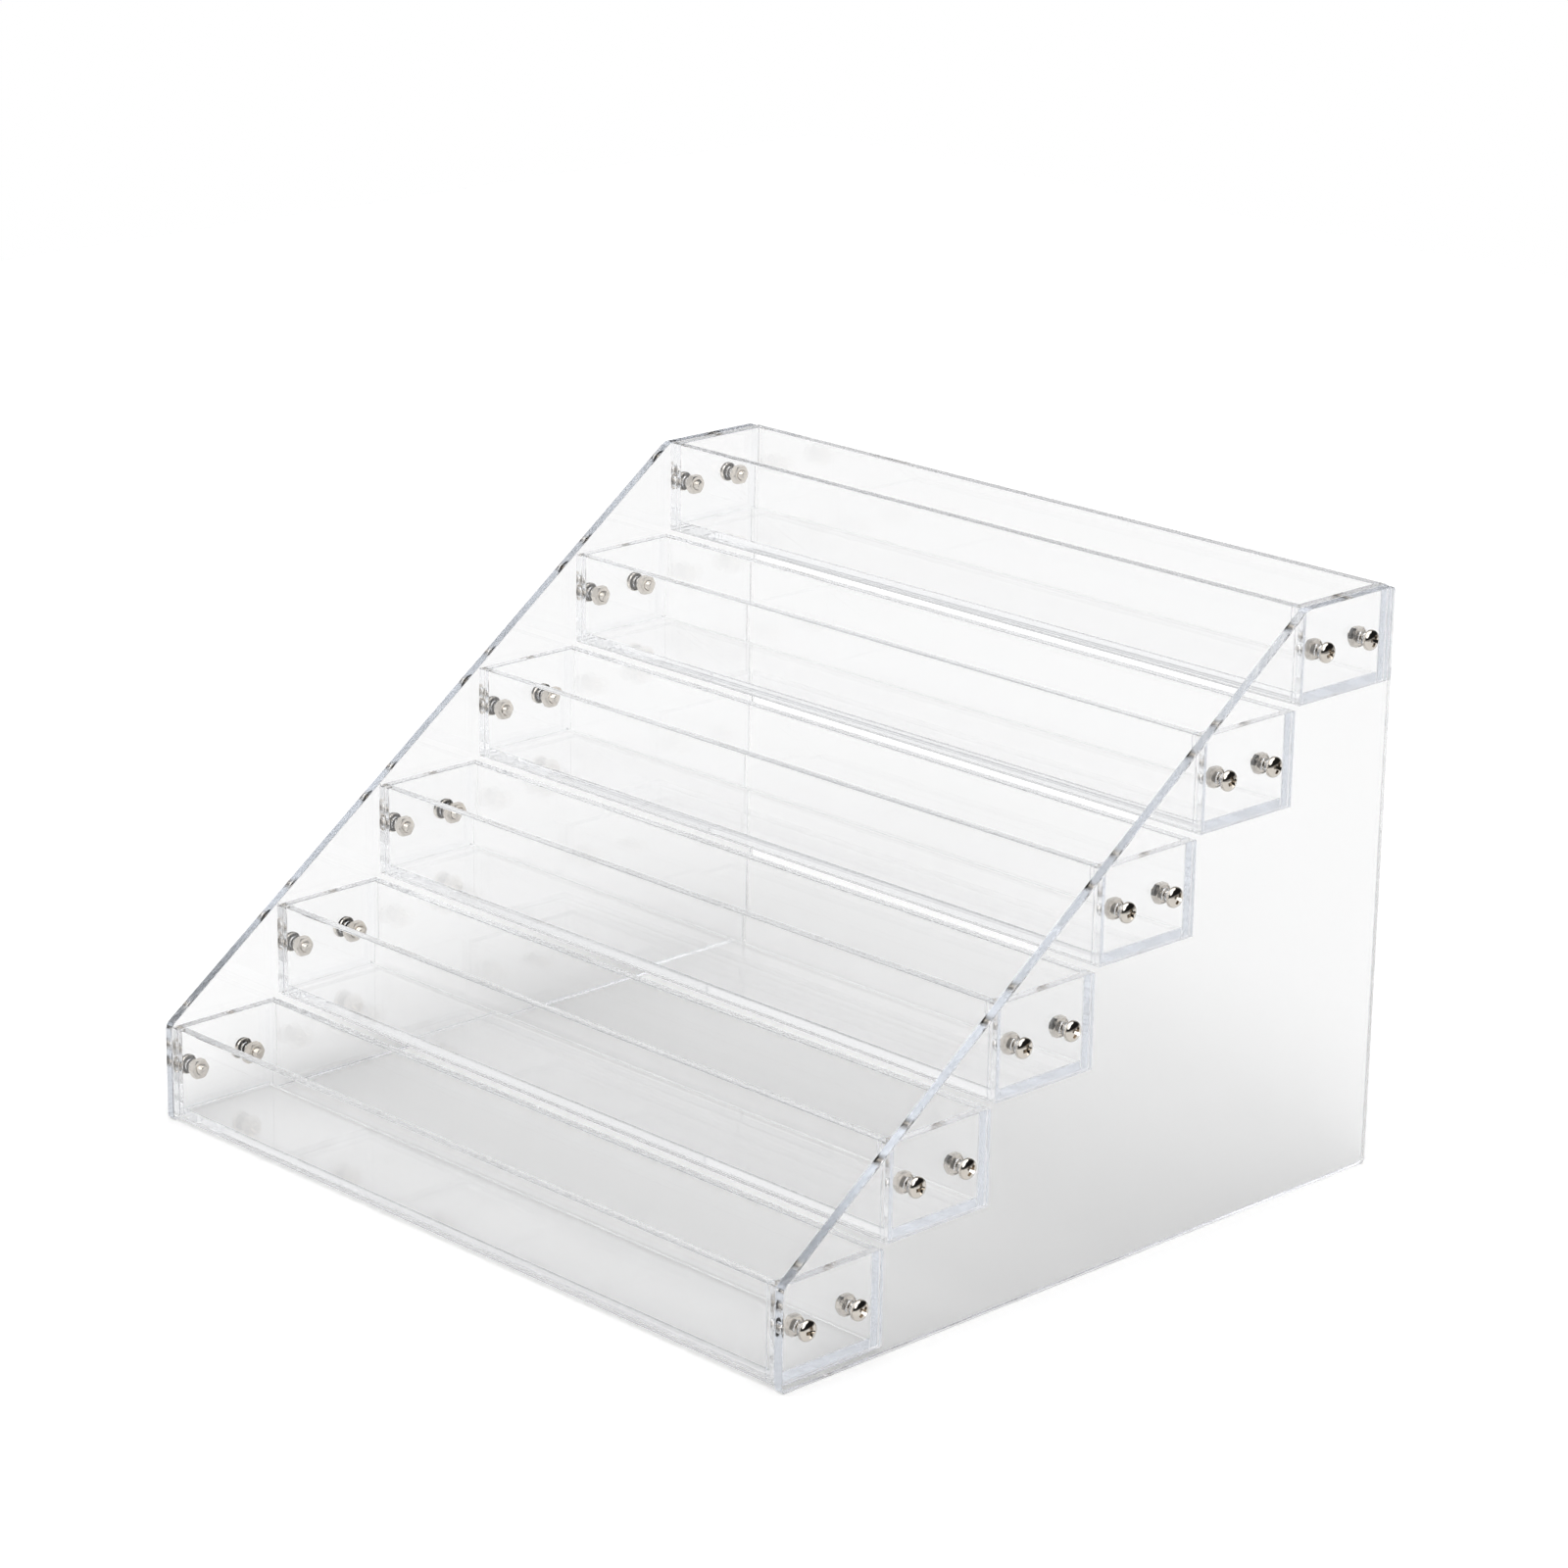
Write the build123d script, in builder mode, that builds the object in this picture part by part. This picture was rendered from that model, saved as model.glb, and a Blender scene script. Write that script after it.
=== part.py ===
from build123d import *
import os

# A clear acrylic stepped rack. Six open trays climb like stairs between two flat side panels. Each
# tray is five plates welded edge to edge, and at each end two machine screws and nuts hold it to
# a panel. Millimetres: X runs along the trays, the front is at -Y and Z is up. The origin is on the
# table, under the middle of the rack.

# Trays
tier_count = 6
tray_length = 254.0
tray_depth = 38.0
tray_height = 28.0
tray_sheet = 3.0
step_gap = 1.5  # from a tray's back to the front of the next one up
rise_gap = 0.8  # from a tray's rim to the underside of the next one up
tray_lift = 1.5  # from the table to the underside of the lowest tray

# Side panels
panel_sheet = 3.0
panel_corner = 1.5  # radius at the corners of the outline

# Machine screws, M3 with a pan head, and their hexagon nuts
screw_diameter = 3.0
screw_length = 10.0  # under the head
screw_sides = 8  # the threaded shank is drawn as a prism that the nut's bore follows
head_diameter = 6.0
head_height = 2.4
nut_width = 5.5  # across the flats
nut_height = 2.4
hole_clearance = 0.2  # radial, screw to acrylic
thread_clearance = 0.05  # radial, screw to nut

# Where the screws pass through each end of a tray, from its front and its underside
screw_setback = 8.0
screw_pitch = 19.0
screw_level = 14.5

# Sizes that follow
tray_run = tray_depth + step_gap
tray_rise = tray_height + rise_gap
rack_depth = (tier_count - 1) * tray_run + tray_depth
rack_height = tray_lift + (tier_count - 1) * tray_rise + tray_height
rack_front = -rack_depth / 2
hole_radius = screw_diameter / 2 + hole_clearance
tiers = range(1, tier_count + 1)


def tray_front(tier):
    return rack_front + (tier - 1) * tray_run


def tray_base(tier):
    return tray_lift + (tier - 1) * tray_rise


def screw_points(tier):
    """The (y, z) of a tray's two screws, the same at both ends."""
    level = tray_base(tier) + screw_level
    front = tray_front(tier) + screw_setback
    return [(front, level), (front + screw_pitch, level)]


def end_plane(side, x):
    """A plane that faces out of the rack's left (-1) or right (+1) end, x from its middle."""
    return Plane((side * x, 0, 0), x_dir=(0, side, 0), z_dir=(side, 0, 0))


def on_plane(side, points):
    """Points in (y, z), as an end plane has them: its own x runs towards -Y on the left."""
    return [(side * y, z) for y, z in points]


def save(piece, name):
    piece.label = name
    export_step(piece, f"parts/{name}.step")


def make_side_panel(side, name):
    """Flat sheet: upright front, slope over the trays' front rims, level top, upright back."""
    first_rim = tray_base(1) + tray_height
    last_front = tray_front(tier_count)
    outline = [
        (rack_front, 0),
        (rack_front, first_rim),
        (last_front, rack_height),
        (-rack_front, rack_height),
        (-rack_front, 0),
    ]
    screws = [point for tier in tiers for point in screw_points(tier)]
    with BuildPart() as panel:
        with BuildSketch(end_plane(side, tray_length / 2)):
            with BuildLine():
                Polyline(*on_plane(side, outline), close=True)
            make_face()
            fillet(vertices(), panel_corner)
            with Locations(*on_plane(side, screws)):
                Circle(hole_radius, mode=Mode.SUBTRACT)
        extrude(amount=panel_sheet)
    save(panel.part, name)


def make_tray_floor(tier):
    """Bottom plate, welded inside the four walls."""
    middle = tray_front(tier) + tray_depth / 2
    with BuildPart() as floor:
        with BuildSketch(Plane.XY.offset(tray_base(tier))):
            with Locations((0, middle)):
                Rectangle(tray_length - 2 * tray_sheet, tray_depth - 2 * tray_sheet)
        extrude(amount=tray_sheet)
    save(floor.part, f"tray_{tier}_floor")


def make_tray_wall(tier, wall):
    """Long upright wall, front or back, welded between the end plates."""
    offset = {"front": 0, "back": tray_depth - tray_sheet}[wall]
    middle = tray_front(tier) + offset + tray_sheet / 2
    with BuildPart() as plate:
        with BuildSketch(Plane.XY.offset(tray_base(tier))):
            with Locations((0, middle)):
                Rectangle(tray_length - 2 * tray_sheet, tray_sheet)
        extrude(amount=tray_height)
    save(plate.part, f"tray_{tier}_{wall}_wall")


def make_tray_end(tier, side, side_name):
    """End plate that lies against a side panel, drilled for its two screws."""
    middle = (tray_front(tier) + tray_depth / 2, tray_base(tier) + tray_height / 2)
    with BuildPart() as plate:
        with BuildSketch(end_plane(side, tray_length / 2 - tray_sheet)):
            with Locations(*on_plane(side, [middle])):
                Rectangle(tray_depth, tray_height)
            with Locations(*on_plane(side, screw_points(tier))):
                Circle(hole_radius, mode=Mode.SUBTRACT)
        extrude(amount=tray_sheet)
    save(plate.part, f"tray_{tier}_{side_name}_end")


def make_screws(side, side_name):
    """One end's machine screws: heads on the panel, shanks through panel, tray end and nut."""
    seat = tray_length / 2 + panel_sheet
    points = [point for tier in tiers for point in screw_points(tier)]
    with BuildPart() as screws:
        with BuildSketch(end_plane(side, seat)):
            with Locations(*on_plane(side, points)):
                RegularPolygon(screw_diameter / 2, screw_sides)
        extrude(amount=-screw_length)
        with BuildSketch(end_plane(side, seat)):
            with Locations(*on_plane(side, points)):
                Circle(head_diameter / 2)
        extrude(amount=head_height)
    save(screws.part, f"screws_{side_name}")


def make_nuts(side, side_name):
    """One end's hexagon nuts, seated on the inner faces of the tray ends."""
    seat = tray_length / 2 - tray_sheet
    points = [point for tier in tiers for point in screw_points(tier)]
    with BuildPart() as nuts:
        with BuildSketch(end_plane(side, seat)):
            with Locations(*on_plane(side, points)):
                RegularPolygon(nut_width / 2, 6, major_radius=False)
                RegularPolygon(screw_diameter / 2 + thread_clearance, screw_sides, mode=Mode.SUBTRACT)
        extrude(amount=-nut_height)
    save(nuts.part, f"nuts_{side_name}")


os.makedirs("parts", exist_ok=True)
for side, side_name in ((-1, "left"), (1, "right")):
    make_side_panel(side, f"side_panel_{side_name}")
    make_screws(side, side_name)
    make_nuts(side, side_name)
    for tier in tiers:
        make_tray_end(tier, side, side_name)
for tier in tiers:
    make_tray_floor(tier)
    make_tray_wall(tier, "front")
    make_tray_wall(tier, "back")
print("overall", tray_length + 2 * panel_sheet, "x", rack_depth, "x", rack_height, "mm over the panels")
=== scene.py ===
# %% [markdown]
# # A stepped display rack in clear acrylic
#
# The rack is six open trays that climb like stairs between two flat side panels. Every plate is
# 3 mm cast acrylic, and 24 small machine screws and nuts hold the trays to the panels.
#
# This notebook dresses the CAD model. The CAD pieces say where everything is and how large it is.
# Here each tray becomes one welded piece with eased edges, the panels get drilled holes and
# polished edges, and the screws and nuts get their heads, cross recesses, threads and chamfers.
# First the frame is loaded.

# %% Load the frame
import math

import bmesh
import bpy
from mathutils import Matrix, Vector


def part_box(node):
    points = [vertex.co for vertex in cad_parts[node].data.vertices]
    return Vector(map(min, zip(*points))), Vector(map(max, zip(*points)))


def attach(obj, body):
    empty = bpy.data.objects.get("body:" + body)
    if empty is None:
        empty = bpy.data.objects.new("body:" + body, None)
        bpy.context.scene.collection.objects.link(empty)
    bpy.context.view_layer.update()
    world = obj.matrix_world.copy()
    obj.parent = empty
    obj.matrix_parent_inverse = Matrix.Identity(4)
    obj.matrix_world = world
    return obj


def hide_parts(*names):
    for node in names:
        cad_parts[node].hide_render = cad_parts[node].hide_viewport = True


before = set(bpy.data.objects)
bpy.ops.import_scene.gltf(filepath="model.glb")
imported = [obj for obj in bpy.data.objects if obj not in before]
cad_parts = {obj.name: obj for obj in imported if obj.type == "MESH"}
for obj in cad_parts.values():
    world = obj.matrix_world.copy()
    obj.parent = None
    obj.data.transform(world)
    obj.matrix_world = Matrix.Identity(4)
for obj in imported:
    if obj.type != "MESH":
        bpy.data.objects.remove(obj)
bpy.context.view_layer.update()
print(len(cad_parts), "CAD pieces in the frame")

# %% [markdown]
# ## Camera
#
# The photograph was taken from the front right, a little above the rack, with a long lens that
# keeps the edges nearly parallel. The camera's place was worked out from the corners of the panels,
# the ends of the tray rims and the screws. Azimuth turns from straight in front towards the right
# end, elevation is above the horizon, and the small roll is the tilt of the photograph itself.

# %% Camera
AZIMUTH, ELEVATION, ROLL = (math.radians(x) for x in (45.609, 17.656, 0.862))
CAMERA_TARGET = Vector((-0.0662, 0.0717, 0.0784))
CAMERA_DISTANCE = 1.4635
SENSOR_WIDTH = 36.0
FOCAL_LENGTH = 109.46

towards_camera = Vector((
    math.sin(AZIMUTH) * math.cos(ELEVATION),
    -math.cos(AZIMUTH) * math.cos(ELEVATION),
    math.sin(ELEVATION),
))
camera = bpy.data.objects.new("camera", bpy.data.cameras.new("camera"))
bpy.context.scene.collection.objects.link(camera)
camera.data.sensor_width = SENSOR_WIDTH
camera.data.lens = FOCAL_LENGTH
camera.rotation_mode = "QUATERNION"
level_view = (-towards_camera).to_track_quat("-Z", "Y")
camera.rotation_quaternion = level_view @ Matrix.Rotation(ROLL, 3, "Z").to_quaternion()
camera.location = CAMERA_TARGET + CAMERA_DISTANCE * towards_camera
bpy.context.scene.camera = camera
print("camera at", [round(x, 3) for x in camera.location])

# %% [markdown]
# ## Node helper and colours
#
# Every material below is a small tree of nodes. One function adds a node, sets what is written on
# it, and fills its inputs: a socket is linked, and anything else is set as a plain value. Colours
# are written as sRGB hex, as a colour picker shows them, and one function turns them into the
# linear numbers that Blender works with.

# %% Node helper and colours
MM = 0.001


def colour(hex_code):
    """Linear RGBA from an sRGB hex code."""
    channels = [int(hex_code[i : i + 2], 16) / 255 for i in (1, 3, 5)]
    linear = [c / 12.92 if c <= 0.04045 else ((c + 0.055) / 1.055) ** 2.4 for c in channels]
    return (*linear, 1.0)


def add(tree, kind, inputs=None, **settings):
    """Adds a node, with settings by name and inputs by name or number."""
    made = tree.nodes.new(kind)
    for name, value in settings.items():
        setattr(made, name, value)
    for key, value in (inputs or {}).items():
        if isinstance(value, bpy.types.NodeSocket):
            tree.links.new(value, made.inputs[key])
        else:
            made.inputs[key].default_value = value
    return made


def new_material(name):
    """A material with an empty tree, and that tree."""
    material = bpy.data.materials.new(name)
    material.use_nodes = True
    material.node_tree.nodes.clear()
    return material, material.node_tree


print("mid grey #808080 is", round(colour("#808080")[0], 3), "as linear light")

# %% [markdown]
# ## Clear cast acrylic, polished
#
# Acrylic sheet (PMMA) is cast between two plates of glass, so its faces are as smooth as glass
# while its cut edges keep the marks of the saw or laser, even after polishing. It bends light with
# an IOR of 1.49. It takes almost nothing from light that crosses 3 mm, but light that runs along
# inside the sheet comes out at the edges slightly cool and grey. That is absorption, so it is a
# volume and not a surface colour.
#
# The faces are nearly a mirror, with a very shallow waviness from casting about 45 mm long and
# faint wipe marks in the roughness. The cut edges are a little rougher, because polishing leaves
# the deepest cutter marks. Real marks are about 0.2 mm apart. That is too fine for a picture of
# the whole rack, so they are drawn 1 mm apart. An attribute on the mesh tells the cut faces, which
# are the edges and the screw holes, from the cast ones. The material looks it up by its name.

# %% Clear cast acrylic, polished
ACRYLIC_IOR = 1.49
WAVE_LENGTH = 45 * MM
WAVE_DEPTH = 0.006 * MM
WIPE_LENGTH = 12 * MM
CUTTER_MARK = 1.0 * MM
CUT_FACE = "cut_face"

acrylic, tree = new_material("clear_cast_acrylic_polished")
place = add(tree, "ShaderNodeNewGeometry").outputs["Position"]
is_cut = add(tree, "ShaderNodeAttribute", attribute_name=CUT_FACE).outputs["Fac"]
wipes = add(
    tree,
    "ShaderNodeTexNoise",
    {"Vector": place, "Scale": 1 / WIPE_LENGTH, "Detail": 4.0, "Roughness": 0.6},
)
cutter_marks = add(
    tree,
    "ShaderNodeTexNoise",
    {"Vector": place, "Scale": 1 / CUTTER_MARK, "Detail": 1.0, "Roughness": 0.5},
)
cast_roughness = add(
    tree,
    "ShaderNodeMapRange",
    {
        "Value": wipes.outputs["Fac"],
        "From Min": 0.35,
        "From Max": 0.75,
        "To Min": 0.0,
        "To Max": 0.035,
    },
)
cut_roughness = add(
    tree,
    "ShaderNodeMapRange",
    {
        "Value": cutter_marks.outputs["Fac"],
        "From Min": 0.3,
        "From Max": 0.7,
        "To Min": 0.08,
        "To Max": 0.14,
    },
)
roughness = add(
    tree,
    "ShaderNodeMix",
    {"Factor": is_cut, "A": cast_roughness.outputs[0], "B": cut_roughness.outputs[0]},
)
casting = add(
    tree,
    "ShaderNodeTexNoise",
    {"Vector": place, "Scale": 1 / WAVE_LENGTH, "Detail": 0.0},
)
waviness = add(
    tree,
    "ShaderNodeBump",
    {"Height": casting.outputs["Fac"], "Strength": 1.0, "Distance": WAVE_DEPTH},
)
shader = add(
    tree,
    "ShaderNodeBsdfPrincipled",
    {
        "Base Color": colour("#FFFFFF"),
        "Roughness": roughness.outputs[0],
        "IOR": ACRYLIC_IOR,
        "Transmission Weight": 1.0,
        "Normal": waviness.outputs["Normal"],
    },
)
inside = add(
    tree,
    "ShaderNodeVolumeAbsorption",
    {"Color": colour("#DCE4F0"), "Density": 2.5},
)
add(
    tree,
    "ShaderNodeOutputMaterial",
    {"Surface": shader.outputs["BSDF"], "Volume": inside.outputs["Volume"]},
)
print("material", acrylic.name, "with", len(tree.nodes), "nodes")

# %% [markdown]
# ## Nickel-plated steel
#
# Small machine screws and nuts are cold-formed from steel wire and then plated with nickel in a
# tumbling barrel. The plating is bright and faintly warm, and the tumbling leaves tiny dents and
# scuffs. Metallic is 1, the colour is nickel's own reflectance, and the IOR stays at its default.
# The dents are 0.5 mm wide, and the scuffs only change the roughness.

# %% Nickel-plated steel
DENT_WIDTH = 0.5 * MM
DENT_DEPTH = 0.02 * MM
SCUFF_WIDTH = 1.2 * MM

nickel, tree = new_material("nickel_plated_steel_barrel_bright")
place = add(tree, "ShaderNodeNewGeometry").outputs["Position"]
scuffs = add(
    tree,
    "ShaderNodeTexNoise",
    {"Vector": place, "Scale": 1 / SCUFF_WIDTH, "Detail": 3.0, "Roughness": 0.6},
)
roughness = add(
    tree,
    "ShaderNodeMapRange",
    {
        "Value": scuffs.outputs["Fac"],
        "From Min": 0.3,
        "From Max": 0.7,
        "To Min": 0.03,
        "To Max": 0.10,
    },
)
tone = add(
    tree,
    "ShaderNodeMix",
    {"Factor": scuffs.outputs["Fac"], 6: colour("#DED8D0"), 7: colour("#CAC3BA")},
    data_type="RGBA",
)
dents = add(
    tree,
    "ShaderNodeTexNoise",
    {"Vector": place, "Scale": 1 / DENT_WIDTH, "Detail": 2.0},
)
dented = add(
    tree,
    "ShaderNodeBump",
    {"Height": dents.outputs["Fac"], "Strength": 0.5, "Distance": DENT_DEPTH},
)
shader = add(
    tree,
    "ShaderNodeBsdfPrincipled",
    {
        "Base Color": tone.outputs[2],
        "Metallic": 1.0,
        "Roughness": roughness.outputs[0],
        "Normal": dented.outputs["Normal"],
    },
)
add(tree, "ShaderNodeOutputMaterial", {"Surface": shader.outputs["BSDF"]})
print("material", nickel.name, "with", len(tree.nodes), "nodes")

# %% [markdown]
# ## Mesh helpers
#
# Sheet parts are built the way the workshop builds them: cut to shape, edges eased, drilled or
# welded. Bevels ease the edges. Boolean modifiers drill and weld, with the exact solver, because
# clear plastic only looks right when the body is closed. A cut face is marked with material index 1
# while the mesh is worked on, because a Boolean carries material indices through.

# %% Mesh helpers
CAST, CUT = 0, 1
ARRIS = 0.3 * MM
STEEP = math.radians(50)


def mesh_object(name, bm):
    """A new object from a bmesh, which is freed."""
    mesh = bpy.data.meshes.new(name)
    bm.to_mesh(mesh)
    bm.free()
    made = bpy.data.objects.new(name, mesh)
    bpy.context.scene.collection.objects.link(made)
    return made


def ease_arrises(bm):
    """Rounds every edge where two faces meet at a steep angle, and marks the rounding as cut."""
    bmesh.ops.bevel(
        bm,
        geom=[edge for edge in bm.edges if edge.calc_face_angle(0) > STEEP],
        offset=ARRIS,
        segments=2,
        profile=0.5,
        affect="EDGES",
        material=CUT,
    )


def combine(target, tools, operation):
    """Applies Boolean operations to target, and removes the tools."""
    for tool in tools:
        step = target.modifiers.new(operation.lower(), "BOOLEAN")
        step.object = tool
        step.operation = operation
        step.solver = "EXACT"
    graph = bpy.context.evaluated_depsgraph_get()
    result = bpy.data.meshes.new_from_object(target.evaluated_get(graph))
    target.modifiers.clear()
    target.data = result
    for tool in tools:
        bpy.data.objects.remove(tool)


print("sharp edges are eased by", round(ARRIS / MM, 2), "mm")

# %% [markdown]
# ## Finish of a sheet part
#
# A Boolean can leave two points a hair apart where there should be one. Joining them closes the
# body, and the number of open edges that is printed has to be 0. Then the mark of the cut faces
# moves to the attribute that the acrylic reads, and every face goes back to index 0, so that the
# piece is one closed body of one material.

# %% Finish of a sheet part
DOUBLE_POINT = 0.001 * MM


def finish_sheet(piece):
    """Closes the mesh, moves the cut mark to the attribute, and adds the acrylic."""
    mesh = piece.data
    bm = bmesh.new()
    bm.from_mesh(mesh)
    bmesh.ops.remove_doubles(bm, verts=bm.verts, dist=DOUBLE_POINT)
    open_edges = sum(not edge.is_manifold for edge in bm.edges)
    volume = bm.calc_volume() / (10 * MM) ** 3
    bm.to_mesh(mesh)
    bm.free()
    marks = [float(face.material_index == CUT) for face in mesh.polygons]
    mesh.attributes.new(CUT_FACE, "FLOAT", "FACE").data.foreach_set("value", marks)
    mesh.polygons.foreach_set("material_index", [0] * len(mesh.polygons))
    mesh.materials.clear()
    mesh.materials.append(acrylic)
    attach(piece, "root")
    print(f"{piece.name}: {volume:.2f} cm3, {open_edges} open edges,", end=" ")
    print(f"{marks.count(0.0)} cast faces, {marks.count(1.0)} cut faces")


# %% [markdown]
# ## Where the screws go
#
# Each end of a tray has two screws, 19 mm apart, 8 mm back from its front and 14.5 mm above its
# underside. The places are measured from the CAD trays, so that they follow them. The holes are
# 0.2 mm wider than the screws all round, and a drill is a plain cylinder for the Boolean, longer
# than the sheet is thick.

# %% Where the screws go
TIERS = range(1, 7)
SCREW_SETBACK = 8 * MM
SCREW_PITCH = 19 * MM
SCREW_LEVEL = 14.5 * MM
HOLE_RADIUS = 1.7 * MM
AROUND_HOLE = 48
DRILL_PAST = 2 * MM


def screw_points(tier):
    """The (y, z) of a tray's two screws."""
    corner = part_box(f"tray_{tier}_left_end")[0]
    front, level = corner.y + SCREW_SETBACK, corner.z + SCREW_LEVEL
    return [(front, level), (front + SCREW_PITCH, level)]


def drills(points, low, high):
    """A round tool along X for each point, through a sheet that lies between low and high."""
    tools = []
    for y, z in points:
        middle = Matrix.Translation(((low.x + high.x) / 2, y, z))
        bm = bmesh.new()
        bmesh.ops.create_cone(
            bm,
            cap_ends=True,
            segments=AROUND_HOLE,
            radius1=HOLE_RADIUS,
            radius2=HOLE_RADIUS,
            depth=high.x - low.x + 2 * DRILL_PAST,
            matrix=middle @ Matrix.Rotation(math.pi / 2, 4, "Y"),
        )
        for face in bm.faces:
            face.material_index = CUT
            face.smooth = True
        tools.append(mesh_object("drill", bm))
    return tools


print("first screws at", [[round(v / MM, 1) for v in p] for p in screw_points(1)], "mm")

# %% [markdown]
# ## Trays
#
# A real tray is five plates. A thin solvent softens the acrylic, and the plates weld into one body
# with joints as clear as the sheet. If the plates stayed separate here, there would be air between
# them, and every joint would shine like a mirror. So each plate is made as a box with eased edges,
# and a Boolean union welds them. The eased edges leave hairline grooves where two plates meet
# flush, as on the real tray.
#
# The exact solver needs the faces of two plates that meet to lie in exactly the same plane. So the
# corners are rounded to a ten-thousandth of a millimetre, which is 7 decimals of a metre.
#
# A tray isn't glued to the side panel, so a film of air stays between them. It is 0.06 mm here,
# which also keeps two clear faces from lying on each other.

# %% Trays
PLATES = ("floor", "front_wall", "back_wall", "left_end", "right_end")
AIR_FILM = 0.06 * MM
DECIMALS = 7


def plate(node):
    """A box with eased edges over a CAD plate. Its thin sides are marked as cut."""
    low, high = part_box(node)
    if node.endswith("left_end"):
        low.x += AIR_FILM
    if node.endswith("right_end"):
        high.x -= AIR_FILM
    size = high - low
    thin = min(range(3), key=lambda axis: size[axis])
    bm = bmesh.new()
    bmesh.ops.create_cube(bm, size=1)
    for vertex in bm.verts:
        corner = [(high if vertex.co[axis] > 0 else low)[axis] for axis in range(3)]
        vertex.co = [round(value, DECIMALS) for value in corner]
    bm.normal_update()
    for face in bm.faces:
        face.material_index = CAST if abs(face.normal[thin]) > 0.5 else CUT
    ease_arrises(bm)
    return mesh_object(node + "_plate", bm)


for tier in TIERS:
    nodes = [f"tray_{tier}_{name}" for name in PLATES]
    tray, *others = [plate(node) for node in nodes]
    tray.name = f"welded_tray_{tier}"
    combine(tray, others, "UNION")
    for end in ("left", "right"):
        low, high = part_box(f"tray_{tier}_{end}_end")
        combine(tray, drills(screw_points(tier), low, high), "DIFFERENCE")
    finish_sheet(tray)
    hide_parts(*nodes)

# %% [markdown]
# ## Side panels
#
# Each panel is cut from flat sheet: an upright front as high as the lowest tray, a straight slope
# over the front rims, a level top and an upright back. The outline is drawn as one polygon, its
# corners are rounded by bevelling the vertices, and it is extruded and drilled.

# %% Side panels
PANEL_CORNER = 1.5 * MM
CORNER_STEPS = 6


def side_panel(name, node):
    """A flat sheet over a CAD panel, drilled for the screws of all its trays."""
    low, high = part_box(node)
    first_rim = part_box("tray_1_front_wall")[1].z
    last_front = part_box("tray_6_front_wall")[0].y
    outline = [
        (low.y, low.z),
        (low.y, first_rim),
        (last_front, high.z),
        (high.y, high.z),
        (high.y, low.z),
    ]
    bm = bmesh.new()
    corners = [bm.verts.new((low.x, y, z)) for y, z in outline]
    bm.faces.new(corners)
    bmesh.ops.bevel(
        bm,
        geom=corners,
        offset=PANEL_CORNER,
        segments=CORNER_STEPS,
        profile=0.5,
        affect="VERTICES",
    )
    extruded = bmesh.ops.extrude_face_region(bm, geom=bm.faces[:])["geom"]
    moved = [part for part in extruded if isinstance(part, bmesh.types.BMVert)]
    bmesh.ops.translate(bm, verts=moved, vec=(high.x - low.x, 0, 0))
    bmesh.ops.recalc_face_normals(bm, faces=bm.faces)
    for face in bm.faces:
        face.material_index = CAST if abs(face.normal.x) > 0.5 else CUT
    ease_arrises(bm)
    panel = mesh_object(name, bm)
    points = [point for tier in TIERS for point in screw_points(tier)]
    combine(panel, drills(points, low, high), "DIFFERENCE")
    finish_sheet(panel)
    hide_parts(node)


side_panel("drilled_panel_left", "side_panel_left")
side_panel("drilled_panel_right", "side_panel_right")

# %% [markdown]
# ## Lathe
#
# Screws and nuts are round forms, so both are made as on a lathe: rings of points around Z, one
# after the other, with faces between them. A ring is a function that gives its radius and height at
# an angle. That way a ring can also be a hexagon, or follow the helix of a thread.

# %% Lathe
def lathe(rings, around):
    """A mesh from rings with that many points around, and its rows of points. Its ends are open."""
    bm = bmesh.new()
    angles = [2 * math.pi * k / around for k in range(around)]
    rows = []
    for ring in rings:
        spots = [(a, *ring(a)) for a in angles]
        rows.append([bm.verts.new((r * math.cos(a), r * math.sin(a), z)) for a, r, z in spots])
    for lower, upper in zip(rows, rows[1:]):
        for k in range(around):
            j = (k + 1) % around
            bm.faces.new((lower[k], lower[j], upper[j], upper[k]))
    return bm, rows


def plain_ring(radius, height):
    """A round and level ring."""
    return lambda angle: (radius, height)


# %% [markdown]
# ## Machine screws
#
# The screws are M3, 10 mm long, with a domed pan head. Their rings run from the tip along the
# thread, under the head and over the dome. The thread is made by moving each point in or out by
# where it lies along the helix, which keeps the mesh closed.

# %% Machine screws
THREAD_PITCH = 0.5 * MM
THREAD_CREST = 1.49 * MM
THREAD_ROOT = 1.20 * MM
RINGS_PER_PITCH = 4
SCREW_LENGTH = 10 * MM
TIP_RADIUS = 0.75 * THREAD_ROOT
TIP_CHAMFER = 0.2 * MM
HEAD_RADIUS = 3.0 * MM
HEAD_HEIGHT = 2.4 * MM
HEAD_WALL = 0.8 * MM
DOME_RINGS = 8
DOME_STEP = math.radians(10)
AROUND_SCREW = 24


def thread_ring(height):
    """A ring of the shank. The thread fades out over its last pitch at both ends."""
    fade = min(1, (height + SCREW_LENGTH) / THREAD_PITCH, -height / THREAD_PITCH)

    def ring(angle):
        turn = (height / THREAD_PITCH - angle / (2 * math.pi)) % 1
        rise = 1 - abs(2 * turn - 1)
        crest = THREAD_ROOT + (THREAD_CREST - THREAD_ROOT) * rise
        return THREAD_ROOT + (crest - THREAD_ROOT) * fade, height

    return ring


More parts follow.
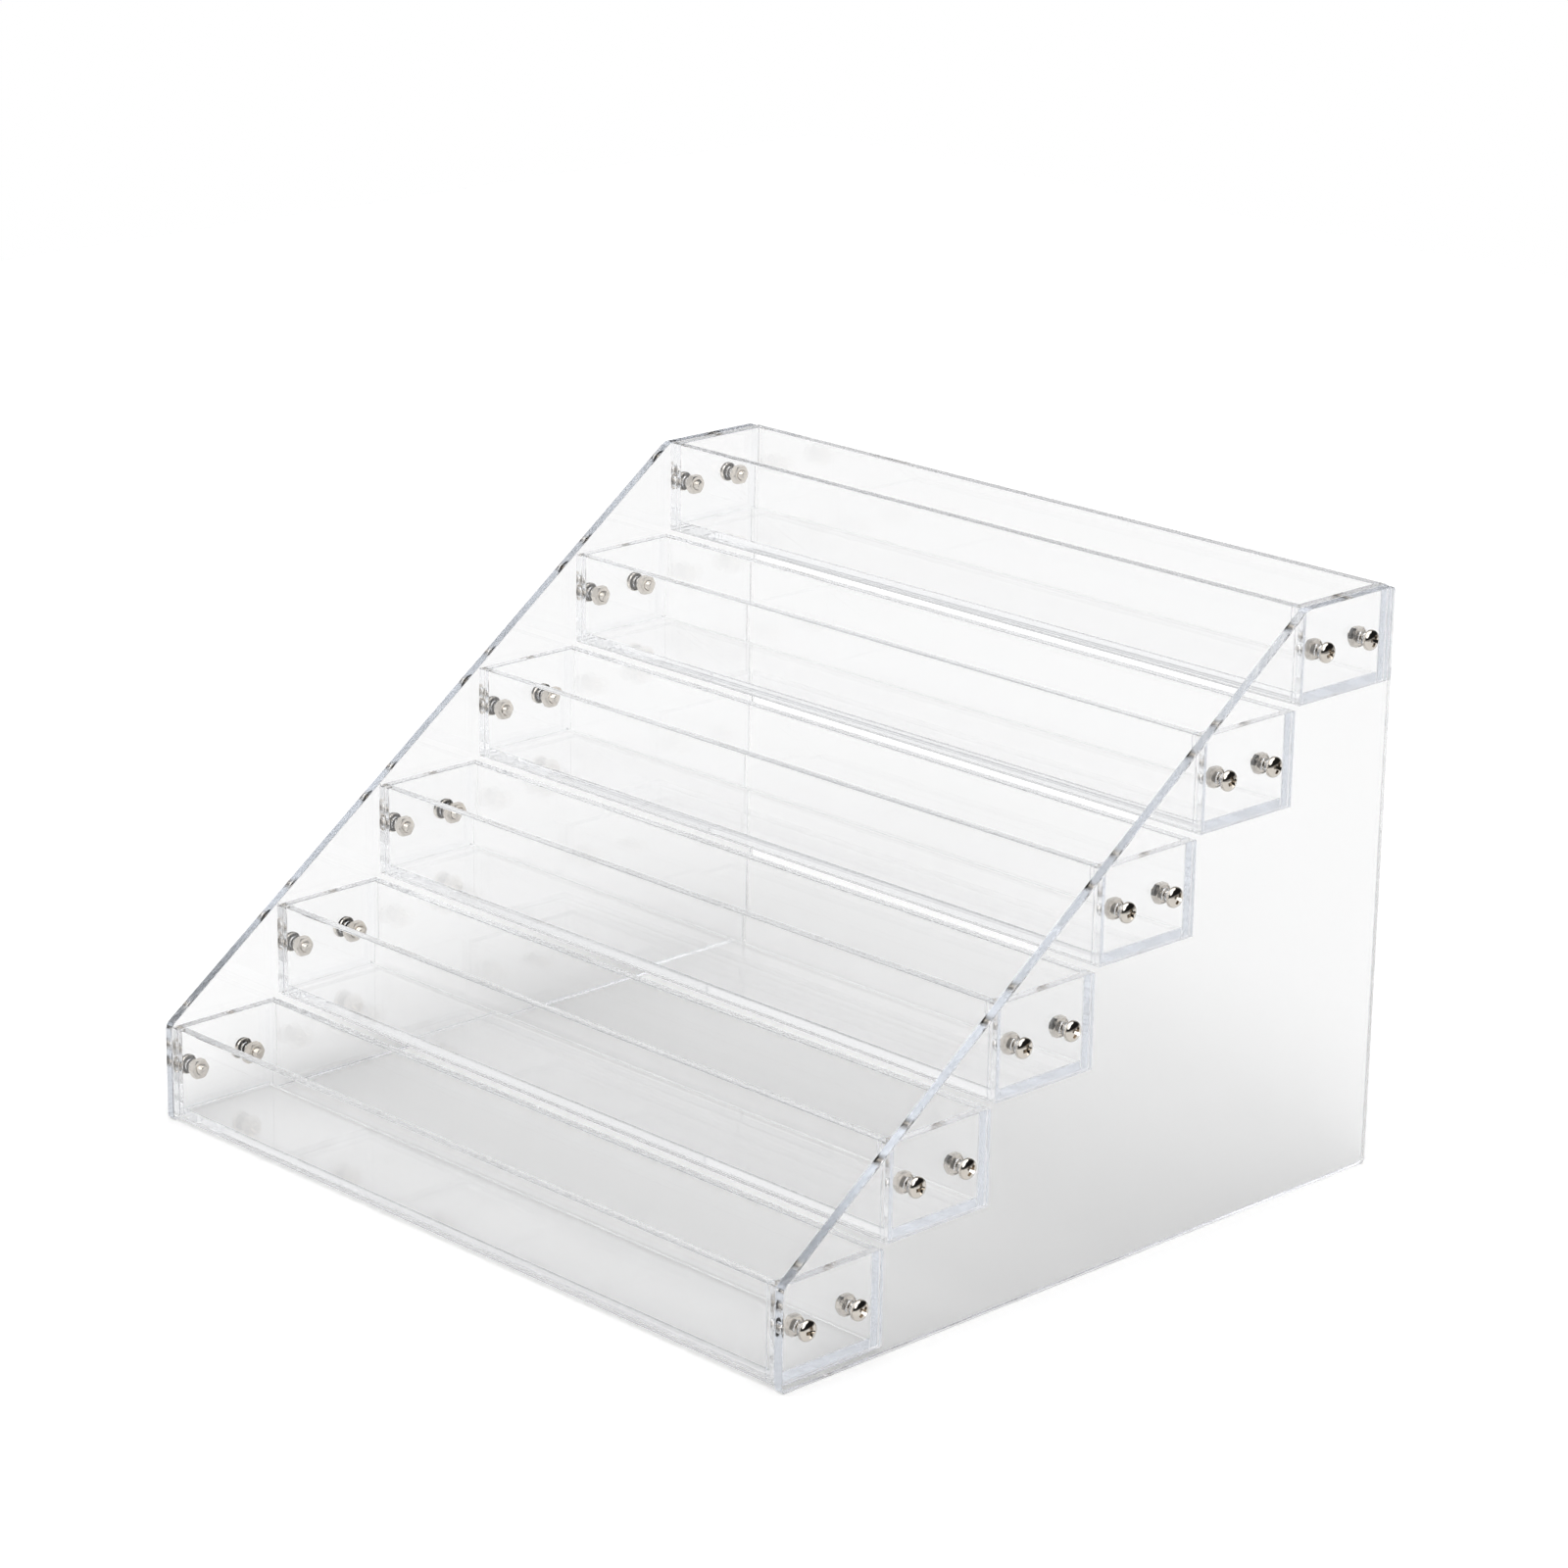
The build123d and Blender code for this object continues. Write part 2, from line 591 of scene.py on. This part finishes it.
def one_screw():
    """A screw that stands on its tip along Z, with the underside of its head at height 0."""
    steps = round(SCREW_LENGTH / THREAD_PITCH * RINGS_PER_PITCH)
    threaded = SCREW_LENGTH - TIP_CHAMFER
    rings = [plain_ring(TIP_RADIUS, -SCREW_LENGTH)]
    rings += [thread_ring(-threaded * (1 - k / steps)) for k in range(steps)]
    rings += [plain_ring(THREAD_ROOT, 0), plain_ring(HEAD_RADIUS - ARRIS, 0)]
    rings += [plain_ring(HEAD_RADIUS, ARRIS), plain_ring(HEAD_RADIUS, HEAD_WALL)]
    for k in range(1, DOME_RINGS + 1):
        height = HEAD_WALL + (HEAD_HEIGHT - HEAD_WALL) * math.sin(k * DOME_STEP)
        rings.append(plain_ring(HEAD_RADIUS * math.cos(k * DOME_STEP), height))
    bm, rows = lathe(rings, AROUND_SCREW)
    bm.faces.new(reversed(rows[0]))
    bm.faces.new(rows[-1])
    return mesh_object("screw", bm)


screw = one_screw()
print("a screw without its recess has", len(screw.data.polygons), "faces")

# %% [markdown]
# ## Cross recess
#
# A punch with four tapered wings presses the cross recess into a real head. Here two tapered blades
# are cut out of the dome, one of them turned by 90 degrees. Their tops lie above the dome, so that
# each blade cuts right through it. At the top of the head the cross is 3.7 mm long and its arms are
# 1.1 mm wide.

# %% Cross recess
RECESS_TOP = (4.1 * MM, 1.2 * MM, HEAD_HEIGHT + 0.3 * MM)
RECESS_BOTTOM = (1.3 * MM, 0.6 * MM, HEAD_HEIGHT - 1.9 * MM)


def recess_blade(angle):
    """A tapered blade, from the (length, width, height) of its top and bottom."""
    bm = bmesh.new()
    bmesh.ops.create_cube(bm, size=1)
    for vertex in bm.verts:
        x, y, z = vertex.co
        length, width, height = RECESS_TOP if z > 0 else RECESS_BOTTOM
        vertex.co = (math.copysign(length / 2, x), math.copysign(width / 2, y), height)
    bmesh.ops.rotate(bm, verts=bm.verts, matrix=Matrix.Rotation(angle, 3, "Z"))
    return mesh_object("blade", bm)


combine(screw, [recess_blade(0), recess_blade(math.pi / 2)], "DIFFERENCE")
print("a screw with its recess has", len(screw.data.polygons), "faces")

# %% [markdown]
# ## A set of screws for each end
#
# One screw is copied to its twelve places at each end of the rack. Nobody lines up the recesses by
# hand, so each screw is turned on by the golden angle from the one before, which never repeats. The
# twelve copies are one mesh, because nothing moves them apart.

# %% A set of screws for each end
GOLDEN_TURN = math.radians(137.508)
SHARP_EDGE = math.radians(35)


def end_frame(side, x, y, z):
    """Local Z points out of the rack's left (-1) or right (+1) end, from that place."""
    axes = Matrix(((0, 0, side), (side, 0, 0), (0, 1, 0))).to_4x4()
    return Matrix.Translation((x, y, z)) @ axes


def set_of(name, master, side, x, turn=0):
    """Twelve copies of a fastener for one end, each turned on from the last, in one mesh."""
    bm = bmesh.new()
    points = [point for tier in TIERS for point in screw_points(tier)]
    for k, (y, z) in enumerate(points):
        copy = master.data.copy()
        copy.transform(end_frame(side, x, y, z) @ Matrix.Rotation(k * turn, 4, "Z"))
        bm.from_mesh(copy)
        bpy.data.meshes.remove(copy)
    made = mesh_object(name, bm)
    made.data.materials.append(nickel)
    made.data.shade_smooth()
    made.data.set_sharp_from_angle(angle=SHARP_EDGE)
    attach(made, "root")
    print(name, "has", len(made.data.polygons), "faces")
    return made


for side, end in ((-1, "left"), (1, "right")):
    low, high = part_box(f"side_panel_{end}")
    seat = low.x if side < 0 else high.x
    screws = set_of(f"machine_screws_{end}", screw, side, seat, GOLDEN_TURN)
    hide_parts(f"screws_{end}")
bpy.data.objects.remove(screw)

# %% [markdown]
# ## Hexagon nuts
#
# An M3 nut is 5.5 mm across its flats and 2.4 mm high. Its corners are turned off at 30 degrees on
# both faces, which leaves the curved bevel that every nut shows. The nut is a lathe form as well,
# with an outer radius that follows the hexagon and a chamfer that drops where the radius is larger.
# Its rings start in the bore, go round the outside and come back, so the first ring is also the
# last, and the points that are double there are joined.

# %% Hexagon nuts
NUT_WIDTH = 5.5 * MM
NUT_HEIGHT = 2.4 * MM
NUT_BORE = 1.55 * MM
NUT_COUNTERSINK = 1.75 * MM
COUNTERSINK_DEPTH = 0.2 * MM
CHAMFER_START = 0.96 * NUT_WIDTH / 2
CHAMFER_SLOPE = math.tan(math.radians(30))
AROUND_NUT = 48


def hexagon(angle):
    """Radius of the hexagon at an angle, with a corner at angle 0."""
    from_flat = (angle % (math.pi / 3)) - math.pi / 6
    return NUT_WIDTH / 2 / math.cos(from_flat)


def nut_edge(upper):
    """The ring where a side of the nut meets the chamfer."""

    def ring(angle):
        drop = CHAMFER_SLOPE * (hexagon(angle) - CHAMFER_START)
        return hexagon(angle), NUT_HEIGHT - drop if upper else drop

    return ring


rings = [
    plain_ring(NUT_BORE, COUNTERSINK_DEPTH),
    plain_ring(NUT_COUNTERSINK, 0),
    plain_ring(CHAMFER_START, 0),
    nut_edge(False),
    nut_edge(True),
    plain_ring(CHAMFER_START, NUT_HEIGHT),
    plain_ring(NUT_COUNTERSINK, NUT_HEIGHT),
    plain_ring(NUT_BORE, NUT_HEIGHT - COUNTERSINK_DEPTH),
]
bm, rows = lathe([*rings, rings[0]], AROUND_NUT)
bmesh.ops.remove_doubles(bm, verts=bm.verts, dist=DOUBLE_POINT)
nut = mesh_object("nut", bm)
print("a nut has", len(nut.data.polygons), "faces from", len(rows), "rings")

for side, end in ((-1, "left"), (1, "right")):
    low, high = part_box(f"nuts_{end}")
    seat = high.x if side < 0 else low.x
    nuts = set_of(f"hexagon_nuts_{end}", nut, side, seat)
    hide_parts(f"nuts_{end}")
bpy.data.objects.remove(nut)

# %% [markdown]
# ## Paper sweep
#
# The rack stands on a sheet of matt white paper, 2.4 m square. The camera should see that paper as
# pure white where nothing shades it, and still see the rack's soft shadow. So the paper is a plain
# diffuse white with a small glow of its own, which only camera, mirror and see-through rays meet.
# The glow lifts it to white without adding light to the rack. It is weaker for the last two, so
# that the shaded paper seen through the panels is about as grey as in the photograph.

# %% Paper sweep
FLOOR_GAP = 0.05 * MM
FLOOR_SIZE = 2.4
PAPER_GLOW = 0.22
BACKDROP_GLOW = 0.36

paper, tree = new_material("matt_white_paper_sweep")
path = add(tree, "ShaderNodeLightPath")
mirrored_or_bent = add(
    tree,
    "ShaderNodeMath",
    {0: path.outputs["Is Glossy Ray"], 1: path.outputs["Is Transmission Ray"]},
    operation="MAXIMUM",
)
paper_glow = add(
    tree,
    "ShaderNodeMath",
    {0: mirrored_or_bent.outputs[0], 1: PAPER_GLOW},
    operation="MULTIPLY",
)
glow_strength = add(
    tree,
    "ShaderNodeMath",
    {0: path.outputs["Is Camera Ray"], 1: BACKDROP_GLOW, 2: paper_glow.outputs[0]},
    operation="MULTIPLY_ADD",
)
matt = add(tree, "ShaderNodeBsdfDiffuse", {"Color": colour("#E8E8E8")})
glow = add(tree, "ShaderNodeEmission", {"Strength": glow_strength.outputs[0]})
sweep = add(tree, "ShaderNodeAddShader", {0: matt.outputs[0], 1: glow.outputs[0]})
add(tree, "ShaderNodeOutputMaterial", {"Surface": sweep.outputs[0]})

bm = bmesh.new()
bmesh.ops.create_grid(bm, x_segments=1, y_segments=1, size=FLOOR_SIZE / 2)
bmesh.ops.translate(bm, verts=bm.verts, vec=(0, 0, -FLOOR_GAP))
floor = mesh_object("paper_sweep", bm)
floor.data.materials.append(paper)
print("paper sweep of", FLOOR_SIZE, "m, its material with", len(tree.nodes), "nodes")

# %% [markdown]
# ## Directions in the studio
#
# Clear plastic is seen by what it bends and mirrors. A photographer stands it in front of a white
# sweep, keeps the rest of the room dark, and lights it with a large soft box overhead and a smaller
# one beside the camera. The world is that room, and its boxes are the only lamps. A point of it is
# known by its direction from the rack. The height of that direction, from 0 at the horizon to 1
# overhead, gives the upper edge of the sweep and the lower edge of the box overhead. How nearly it
# points at the smaller box gives the edge of that one. Each edge is soft, between two numbers.

# %% Directions in the studio
world = bpy.data.worlds.new("studio")
bpy.context.scene.world = world
world.use_nodes = True
tree = world.node_tree
tree.nodes.clear()

TOWARDS_KEY_BOX = Vector((0.45, -0.50, 0.74)).normalized()
direction = add(tree, "ShaderNodeTexCoord").outputs["Generated"]
height = add(tree, "ShaderNodeSeparateXYZ", {0: direction}).outputs["Z"]
nearness = add(
    tree,
    "ShaderNodeVectorMath",
    {0: direction, 1: TOWARDS_KEY_BOX},
    operation="DOT_PRODUCT",
).outputs["Value"]
soft_edges = {
    "above_horizon": (height, 0.06, 0.10),
    "above_sweep": (height, 0.36, 0.52),
    "in_top_box": (height, 0.82, 0.87),
    "in_key_box": (nearness, 0.90, 0.93),
}
where = {}
for name, (measure, start, full) in soft_edges.items():
    edge = add(
        tree,
        "ShaderNodeMapRange",
        {"Value": measure, "From Min": start, "From Max": full},
        interpolation_type="SMOOTHSTEP",
    )
    where[name] = edge.outputs[0]
print("soft edges:", ", ".join(where))

# %% [markdown]
# ## Light from the studio
#
# Rays that come through the plastic see the white sweep, a little below full white, so that the
# plates show against the background, and above it a light grey wall. Rays that are mirrored see the
# dark room, with a grey band along the horizon. The two boxes are in both. The camera itself sees
# plain white.
#
# All of it is white light at seven strengths, where 1 is white. Each mix takes the first light
# where its share is 0 and the second where it is 1, and the mixes after it can use what it gives.

# %% Light from the studio
strengths = {
    "white": 1.0,
    "sweep": 0.9,
    "wall": 0.5,
    "horizon": 0.35,
    "dark": 0.015,
    "top_box": 2.3,
    "key_box": 2.6,
}
light = {}
for name, strength in strengths.items():
    source = add(tree, "ShaderNodeBackground", {"Color": colour("#FFFFFF"), "Strength": strength})
    light[name] = source.outputs[0]

ray = add(tree, "ShaderNodeLightPath").outputs
mixes = (
    ("seen_through", where["above_sweep"], "sweep", "wall"),
    ("mirrored", where["above_horizon"], "horizon", "dark"),
    ("room", ray["Is Transmission Ray"], "mirrored", "seen_through"),
    ("room_with_top_box", where["in_top_box"], "room", "top_box"),
    ("studio", where["in_key_box"], "room_with_top_box", "key_box"),
    ("shown", ray["Is Camera Ray"], "studio", "white"),
)
for name, share, first, second in mixes:
    mixed = add(tree, "ShaderNodeMixShader", {0: share, 1: light[first], 2: light[second]})
    light[name] = mixed.outputs[0]
add(tree, "ShaderNodeOutputWorld", {"Surface": light["shown"]})
print("world", world.name, "with", len(tree.nodes), "nodes")

# %% [markdown]
# ## Render settings that clear plastic needs
#
# Light that enters the edge of a 3 mm sheet is mirrored 20 to 50 times inside it before it gets
# out. With too few bounces those paths end black, and the edges with them. So the limits are raised
# well above that. Paper only needs a few.

# %% Render settings that clear plastic needs
CLEAR_BOUNCES = 96
PAPER_BOUNCES = 3

scene = bpy.context.scene
scene.view_settings.view_transform = "Standard"
scene.cycles.max_bounces = CLEAR_BOUNCES
scene.cycles.transmission_bounces = CLEAR_BOUNCES
scene.cycles.glossy_bounces = CLEAR_BOUNCES
scene.cycles.diffuse_bounces = PAPER_BOUNCES
print("light may be bent or mirrored", scene.cycles.max_bounces, "times")
